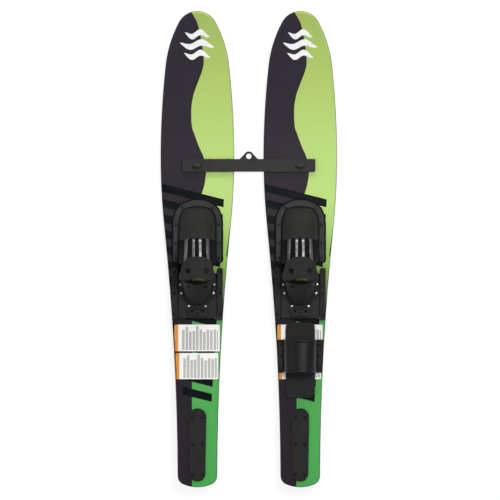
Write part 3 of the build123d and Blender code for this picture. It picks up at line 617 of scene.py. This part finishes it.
def overlay_z(x, s):
    """Height of the overlay's outside above the base at x and s."""
    across = np.clip(np.abs(x) / toe_half_width(s, DOME_GAP), 0, 0.999)
    arch = (1 - across**ARCH_POWER) ** (1 / ARCH_POWER)
    return DECK + DOME_LIFT + DOME_SQUASH * toe_height(s, 0) * arch


def toe_overlay(word):
    """The rubber toe overlay: a flange under the toe frame and the dome over the toes."""
    wide, inner = FRAME_OUTSIDE[0] + FLANGE_MARGIN, FRAME_INSIDE[0] - FLANGE_INSIDE
    corner, corner_s = FLANGE_CORNER, FLANGE_REAR + FLANGE_CORNER
    outline = bend(FRAME_OUTSIDE, OUTSIDE_LEAN, FLANGE_MARGIN) + [(-wide, corner_s)]
    outline += arc((corner - wide, corner_s), corner, 180, 270, 7)[1:] + [(-inner, FLANGE_REAR)]
    outline += list(reversed(bend(FRAME_INSIDE, INSIDE_LEAN, -FLANGE_INSIDE))) + [(inner, FLANGE_REAR)]
    outline += arc((wide - corner, corner_s), corner, 270, 360, 7)
    flange = slab([outline], DECK, DECK + FLANGE, 0.9)
    part = merged(flange, shell(toe_dome(0), toe_dome(RUBBER)))

    # The flange's faces take the near-black finish: painted shade of its step beside the frame.
    def painted_shade_on_flange(centre):
        return centre.z < DECK + FLANGE + 0.2

    make(
        f"{word}_overlay_rubber", part, word, "ski", finishes["black_rubber"], "toe_overlay",
        second=(finishes["flange_painted_shade"], painted_shade_on_flange),
    )


def rib_share(x, s):
    """How far a point is on a rib, from 0 in a groove to 1 on a rib's flat top."""
    spread = 1 + RIB_SPREAD * (PANEL_FRONT - s) / (PANEL_FRONT - OVERLAY_REAR)
    away = np.min([np.abs(x - at * spread) for at in RIBS], axis=0)
    share = np.clip((RIB_HALF_WIDTH - away) / RIB_FLANK, 0, 1)
    return share * share * (3 - 2 * share)


def instep_panel(word, rows=44):
    """The panel over the instep: flat-topped ribs that spread a little towards the heel."""
    ribbed = np.linspace(-RIB_ZONE, RIB_ZONE, RIB_POINTS)
    outer = np.zeros((rows, RIB_POINTS + 2 * FLANK_POINTS, 3))
    for i, v in enumerate(np.linspace(0, 1, rows)):
        height = float(toe_height(PANEL_FRONT - v * (PANEL_FRONT - OVERLAY_REAR), 0))
        foot = math.asin((PANEL_FOOT / height) ** (ARCH_POWER / 2))
        x, z = arch_points(FRAME_INSIDE[0] - DOME_GAP, height, np.linspace(math.pi / 2, foot, 900))
        run = np.concatenate(([0], np.cumsum(np.hypot(np.diff(x), np.diff(z)))))
        spread = 1 + RIB_SPREAD * v
        flank_run = np.linspace(np.interp(RIB_ZONE * spread, x, run), run[-1], FLANK_POINTS + 1)
        flank = np.interp(flank_run[1:], run, x)
        x = np.concatenate((-flank[::-1], ribbed * spread, flank))
        front = PANEL_FRONT - PANEL_SWEEP * (x / FRAME_INSIDE[0]) ** 2
        s = front - v * (front - OVERLAY_REAR)
        outer[i] = np.stack([x, s, overlay_z(x, s)], axis=1)
    along, across = np.gradient(outer, axis=0), np.gradient(outer, axis=1)
    normal = np.cross(along, across)
    normal *= np.sign(normal[..., 2:3]) / np.linalg.norm(normal, axis=2, keepdims=True)
    x, s = outer[..., 0], outer[..., 1]
    end = np.clip(np.minimum(np.arange(rows), 6) / 3.0, 0, 1)[:, None]
    lift = PANEL_THICKNESS * 0.5 + RIB_HEIGHT * rib_share(x, s) * end
    part = shell(outer + normal * lift[..., None], outer - normal * 0.8, 3)

    # Everything but the rib tops takes the near-black finish: painted shade in the grooves and on the steep
    # flanks.
    def on_rib(centre):
        return rib_share(centre.x, centre.y) > 0.55 and centre.z > overlay_z(centre.x, centre.y) + 1

    make(
        f"{word}_instep_ribs", part, word, "ski", finishes["groove_painted_shade"], "instep_panel",
        sharp=70, second=(finishes["gloss_rubber"], on_rib),
    )


def pull_tab(word):
    """The tab that pulls the overlay on: a crowned plate with two finger holes and a notched rear edge."""
    # Its right cheek, from the end of its crowned front edge to the start of the notch: (x, s)
    knots = [
        (31, 557), (35.6, 549.5), (39, 538.5), (43, 524), (45, 515), (44.6, 510.6), (42, 508), (36, 507.6),
        (28, 507.5), (21, TAB_REAR),
    ]
    position = np.linspace(0, 1, len(knots))
    fine = np.linspace(0, 1, 40)
    cheek = list(zip(*[smooth(list(zip(position, values)), fine) for values in zip(*knots)]))
    front_half, notch_half = knots[0][0], knots[-1][0]
    across = np.linspace(-front_half, front_half, 27)
    crown = [(x, TAB_FRONT - 10 * abs(x / front_half) ** 2.2) for x in across]
    across = np.linspace(notch_half, -notch_half, 19)
    mouth = [(x, TAB_REAR + 6.5 * (1 - abs(x / notch_half) ** 1.7)) for x in across]
    rim = crown + cheek[1:-1] + mouth + [(-x, s) for x, s in reversed(cheek[1:-1])]
    holes = [arc(centre, FINGER_RADIUS - 0.3, 360, 0, 33)[:-1] for centre in FINGER_HOLES]
    points, faces = remeshed(slab([rim] + holes, 0, TAB_THICKNESS, 1.7, 4), 0.75, 5)
    x, s, z = points.T
    sag = TAB_CROWN - np.sqrt(TAB_CROWN**2 - x**2)
    lips = sum(gauss(np.hypot(x - a, s - b), FINGER_RADIUS + 1.9, 1.2) for a, b in FINGER_HOLES)
    dish = 0.9 * gauss(x, 0, 9) * gauss(s, 541, 15)
    rise = (TAB_FRONT - s) * math.tan(math.radians(TAB_SLOPE))
    upper = np.clip(z / TAB_THICKNESS, 0, 1)
    z = z + DECK + TAB_HEIGHT - TAB_THICKNESS + rise - sag + upper * (0.7 * lips - dish)
    part = np.stack([x, s, z], axis=1), faces
    make(f"{word}_finger_tab", part, word, "ski", finishes["black_rubber"], "pull_tab")


# ---------------------------------------------------------------- heel cup
CUP_FLANGE = 2.4
RIM_FOOT, RIM_LEAN, RIM_DIP = 508, 9 / 81, 5  # s of the rim's foot, its lean, and its dip at the top
# (s, half width, height above the plate) from the cup's back to past its open rim
CUP = [
    (445.8, 0, 0), (446.6, 8, 3), (449, 14.5, 9), (454.5, 20.5, 19.5), (463, 25.8, 32), (474, 30.2, 46),
    (486, 34, 57), (497, 36.8, 65), (510, 38.4, 72),
]
CUP_REACH = 110  # about how many millimetres the wall runs while its share of CUP goes from 0 to 1
CUP_LIFT, CUP_SQUASH = 1.9, 0.98  # how far the wall is raised, and the factor on its height
# The finger dents: their places, half width, half length, depth, and half length of the part painted dark as shade
DENTS, DENT_WIDTH, DENT_LENGTH, DENT_DEPTH, DENT_SHADE_HALF = ((-21, 493), (21, 493)), 5.5, 3.2, 2.6, 2.4


def cup_face(inset, rows=58, cols=61):
    """One face of the heel cup as a grid of points, from its back to its leaning rim."""
    knots = np.linspace(0, 1, len(CUP))
    tracks = [list(zip(knots, values)) for values in zip(*CUP)]
    v, angle = np.meshgrid(np.linspace(0, 1, rows), np.linspace(math.pi, 0, cols), indexing="ij")
    reach = np.ones(cols)
    for _ in range(12):
        s, w, h = [smooth(track, reach) for track in tracks]
        rim_x, rim_z = arch_points(w, h, angle[0])
        rim_s = RIM_FOOT - RIM_LEAN * rim_z - RIM_DIP * (rim_z > 40) * np.cos(rim_x * math.pi / 2 / w) ** 2
        reach = np.clip(reach + (rim_s - s) / CUP_REACH, 0.8, 1)
    s, w, h = [smooth(track, v * reach) for track in tracks]
    bead = 1.1 * gauss((reach - v * reach) * CUP_REACH, 2.0, 1.6) if inset == 0 else 0
    x, z = arch_points(np.clip(w - inset + bead, 0, None), np.clip(h - inset + bead, 0, None), angle)
    s = s + inset * np.clip(1 - 1.4 * v, 0, 1)
    dent = sum(
        np.exp(-(((x - a) / DENT_WIDTH) ** 2) - ((s - b) / DENT_LENGTH) ** 2) for a, b in DENTS
    ) * (z > 30)
    return np.stack([x, s, PLATE_TOP + CUP_LIFT + z * CUP_SQUASH - DENT_DEPTH * dent], axis=2)


def heel_cup(word):
    """The rubber heel cup: a flange on the carriage's plate and the wall round the heel."""
    knots = np.linspace(0, 1, len(CUP))
    along, widths, _ = [list(zip(knots, values)) for values in zip(*CUP)]
    inner = []
    for t in np.linspace(0.06, 0.985, 24):
        s, w = float(smooth(along, t)), float(smooth(widths, t))
        if w > RUBBER + 2:
            inner.append((w - RUBBER, s + RUBBER * max(0.0, 1 - 1.4 * t)))
    back = [(x, 438.5 + 23.5 * (x / 36) ** 2) for x in np.linspace(36, -36, 25)]
    outline = [(45.6, 505), (45.6, 470), (42, 465)] + back + [(-42, 465), (-45.6, 470), (-45.6, 505)]
    outline += [(-w, s) for w, s in reversed(inner)] + inner
    flange = slab([outline], PLATE_TOP, PLATE_TOP + CUP_FLANGE, 0.7)
    part = merged(flange, shell(cup_face(0), cup_face(RUBBER)))

    # The upper part of each dent takes the near-black finish: painted shade in the recess.
    def painted_shade_in_dent(centre):
        near = [math.hypot((centre.x - a) / DENT_WIDTH, (centre.y - b) / DENT_SHADE_HALF) for a, b in DENTS]
        return centre.z > 60 and min(near) < 1

    make(
        f"{word}_cup_rubber", part, word, "heel", finishes["black_rubber"], "heel_cup",
        second=(finishes["groove_painted_shade"], painted_shade_in_dent),
    )


# ---------------------------------------------------------------- rear toe piece, on the right ski
STRAP_REAR, STRAP_FRONT = 281, 363
STRAP_DROP, STRAP_ARC = 6, 3  # how far its top falls to the front, and its rear edge bows in at the sides
STRAP_TAPER = 3 / 57  # how much narrower the wings are at the rear
# The strap's centreline across the ski, from its left wing to its top: (x, z above the deck)
STRAP_LINE = [
    (-56, 1.4), (-51, 1.4), (-46.5, 1.4), (-43.4, 2.3), (-41, 5.6), (-39.6, 12), (-38.4, 21), (-35.6, 31.5),
    (-29.4, 40.8), (-19, 46.8), (-9.5, 49.4), (0, 50.2),
]
STRAP_TOP = STRAP_LINE[-1][1]
STRAP_OUTSIDE = 52  # height of the strap's outside above the deck
# Foam pads: (rear, front, half width, thickness), and the radii of their rear and front corners
REAR_PAD, REAR_PAD_CORNERS = (219, 405, 36, 5), (16, 12)
FOOTBED, FOOTBED_CORNERS = (517, 672, 39, 2.6), (6, 26)


def rear_strap():
    """The rubber strap over the rear foot, with hemmed front and rear edges and a flat wing each side."""
    line = STRAP_LINE + [(-x, z) for x, z in reversed(STRAP_LINE[:-1])]
    run = np.concatenate(([0], np.cumsum(np.hypot(*np.diff(np.array(line), axis=0).T))))
    fine = np.linspace(0, run[-1], 110)
    x, z = [smooth(list(zip(run, values)), fine) for values in zip(*line)]
    for _ in range(6):
        x[1:-1], z[1:-1] = (x[:-2] + 2 * x[1:-1] + x[2:]) / 4, (z[:-2] + 2 * z[1:-1] + z[2:]) / 4
    dx, dz = np.gradient(x), np.gradient(z)
    length = np.hypot(dx, dz)
    nx, nz = -dz / length, dx / length
    thickness = 2.6 + 1.2 * np.clip((z - 3) / 12, 0, 1)
    rows = []
    lift = np.clip(z / STRAP_TOP, 0, 1)
    for v in np.linspace(0, 1, 40):
        low = STRAP_REAR + 0.8 + STRAP_ARC * np.clip(np.abs(x) / 40, 0, 1) ** 2 * np.clip(z / 6, 0, 1)
        s = low + (STRAP_FRONT - 1.4 - low) * v
        drop = 1 - (STRAP_DROP / STRAP_OUTSIDE) * v * lift
        wide = 1 - STRAP_TAPER * (1 - v) * (1 - lift)
        hem = gauss(v, 0.03, 0.025) + gauss(v, 0.97, 0.025)
        groove = gauss(v, 0.085, 0.014) + gauss(v, 0.915, 0.014)
        out = thickness / 2 + (1.0 * hem - 0.5 * groove) * np.clip(z / 20, 0, 1)
        rows.append((
            np.stack([x * wide + nx * out, s, DECK + z * drop + nz * out], axis=1),
            np.stack([x * wide - nx * thickness / 2, s, DECK + z * drop - nz * thickness / 2], axis=1),
        ))
    outer, inner = (np.array([row[k] for row in rows]) for k in (0, 1))
    make(
        "right_rear_strap_rubber", shell(outer, inner), "right", "ski", finishes["strap_rubber"],
        "rear_toe_strap",
    )


def foam_pad(name, word, stands_for, sole, corners):
    """A foam pad with a raised rim: sole is (rear, front, half width, thickness), corners its two radii."""
    rear, front, half, thick = sole
    back, ahead = corners
    outline = arc((half - back, rear + back), back, 270, 360, 9)
    outline += arc((half - ahead, front - ahead), ahead, 0, 90, 13)
    outline += [(-x, s) for x, s in reversed(outline)]
    points, faces = remeshed(slab([outline], 0, thick, 0.3 * thick, 3), 1.2, 3)
    x, s, z = points.T
    edge = np.minimum(half - np.abs(x), np.minimum(s - rear, front - s))
    for radius, past in ((back, rear + back - s), (ahead, s - front + ahead)):
        out = np.abs(x) - half + radius
        edge = np.where((out > 0) & (past > 0), radius - np.hypot(out, past), edge)
    top = np.clip(z / thick, 0, 1) ** 2
    rim, hollow = 0.10 * thick * gauss(edge, 3.2, 1.3), 0.16 * thick * np.clip((edge - 5) / 14, 0, 1)
    z = z + DECK + top * (rim - hollow)
    part = np.stack([x, s, z], axis=1), faces
    pad = make(f"{word}_{name}", part, word, "ski", finishes["pad_rubber"], stands_for)


# ---------------------------------------------------------------- prints that lie on the deck
FILM, FILM_SUNK = 0.14, 0.06  # how far a film stands over the deck and reaches into it


def deck_of(word):
    """A search tree of a ski's surface, in the row frame."""
    mesh = nodes[f"{word}_ski"].data
    return BVHTree.FromPolygons([v.co for v in mesh.vertices], [p.vertices for p in mesh.polygons])


decks = {word: deck_of(word) for word in WORDS}


def on_deck(word, x, s):
    """The deck's point over (x, s) and its normal, in the ski's own frame, or None past its edge."""
    start = place[word] @ Vector((x, s, 300))
    hit, normal, _, _ = decks[word].ray_cast(start, -deck_up)
    if hit is None or normal.dot(deck_up) < 0.35:
        return None
    inverse = place[word].inverted()
    return inverse @ hit, (inverse.to_3x3() @ normal).normalized()


def laid(word, plan):
    """A film over a grid of (x, s) on the deck, its points past the edge drawn in: (points, faces)."""
    top, under = np.zeros(plan.shape[:2] + (3,)), np.zeros(plan.shape[:2] + (3,))
    for i, j in np.ndindex(plan.shape[:2]):
        x, s = plan[i, j]
        found = on_deck(word, x, s)
        while found is None:
            x *= 0.996
            found = on_deck(word, x, s)
        hit, normal = found
        top[i, j], under[i, j] = hit + normal * FILM, hit - normal * FILM_SUNK
    return shell(top, under, 0)


def sticker(word, which):
    """One sticker with rounded corners, as a film on the deck."""
    low, high, left, right = STICKERS[which]
    corner = STICKER_CORNER
    ends = corner * (1 - np.cos(np.linspace(0, math.pi / 2, 6)))
    between = np.linspace(low + corner, high - corner, 12)[1:-1]
    rows = np.concatenate((low + ends, between, (high - ends)[::-1]))
    plan = []
    for s in rows:
        cut = max(corner - (s - low), corner - (high - s), 0)
        pulled = corner - math.sqrt(max(corner**2 - cut**2, 0))
        plan.append([(x, s) for x in np.linspace(left + pulled, right - pulled, 45)])
    make(f"{word}_{which}_sticker", laid(word, np.array(plan)), word, "ski", sticker_vinyl(word, which))


# The emblem is three plain waves round EMBLEM_MIDDLE: (how far ahead of it, length, thickness)
EMBLEM_MIDDLE = 1086
WAVES = ((25, 60, 15), (0, 84, 16), (-25, 64, 15))
WAVE_HEIGHT, WAVE_BEND, WAVE_START = 5.5, 4.4, 0.4


def emblem(word, ink):
    """The emblem of one ski, as films on the deck."""
    parts = []
    for offset, length, thick in WAVES:
        plan = []
        for v in np.linspace(-0.5, 0.5, 5):
            row = []
            for t in np.linspace(-1, 1, 61):
                taper = 1 - abs(t) ** 2.6
                line = EMBLEM_MIDDLE + offset + WAVE_HEIGHT * math.sin(t * WAVE_BEND + WAVE_START)
                row.append((t * length / 2, line + v * thick * (0.06 + 0.94 * taper)))
            plan.append(row)
        parts.append(laid(word, np.array(plan)))
    make(f"{word}_wave_emblem", merged(*parts), word, "ski", ink)


# ---------------------------------------------------------------- the scene
ink = white_ink()
for word in WORDS:
    toe_overlay(word)
    instep_panel(word)
    pull_tab(word)
    heel_cup(word)
    emblem(word, ink)
    for which in STICKERS:
        sticker(word, which)
    foam_pad("footbed_foam", word, "footbed", FOOTBED, FOOTBED_CORNERS)
rear_strap()
foam_pad("rear_pad_foam", "right", "rear_foot_pad", REAR_PAD, REAR_PAD_CORNERS)

FLOOR_REACH, FLOOR_DROP = 60, 0.0005  # metres
corners = ((-1, -1), (1, -1), (1, 1), (-1, 1))
floor_corners = [(x * FLOOR_REACH, y * FLOOR_REACH, -FLOOR_DROP) for x, y in corners]
floor_mesh = bpy.data.meshes.new("Floor")
floor_mesh.from_pydata(floor_corners, [], [[0, 1, 2, 3]])
floor = bpy.data.objects.new("Floor", floor_mesh)
bpy.context.scene.collection.objects.link(floor)
floor_finish = Finish("floor", Roughness=0.9, Specular_IOR_Level=0.1, Emission_Strength=0.80)
floor_finish.shader.inputs["Emission Color"].default_value = (1, 1, 1, 1)
haze = floor_finish.noise(floor_finish.object, 3.0)
floor_colour = floor_finish.mix(haze, srgb(150, 150, 150), srgb(146, 146, 146))
floor_mesh.materials.append(floor_finish.feed(Base_Color=floor_colour))

# The sky is a plain soft box: bright round the sides, dimmer overhead where the camera is.
sky = Graph(world.node_tree)
height = sky.node("SeparateXYZ", {0: sky.node("TexCoord").outputs["Generated"]}).outputs[2]
brightness = sky.ramp(height, 0.30, 0.90, 0.60, 0.12)
background = world.node_tree.nodes["Background"]
background.inputs["Color"].default_value = (1, 1, 1, 1)
world.node_tree.links.new(brightness, background.inputs["Strength"])
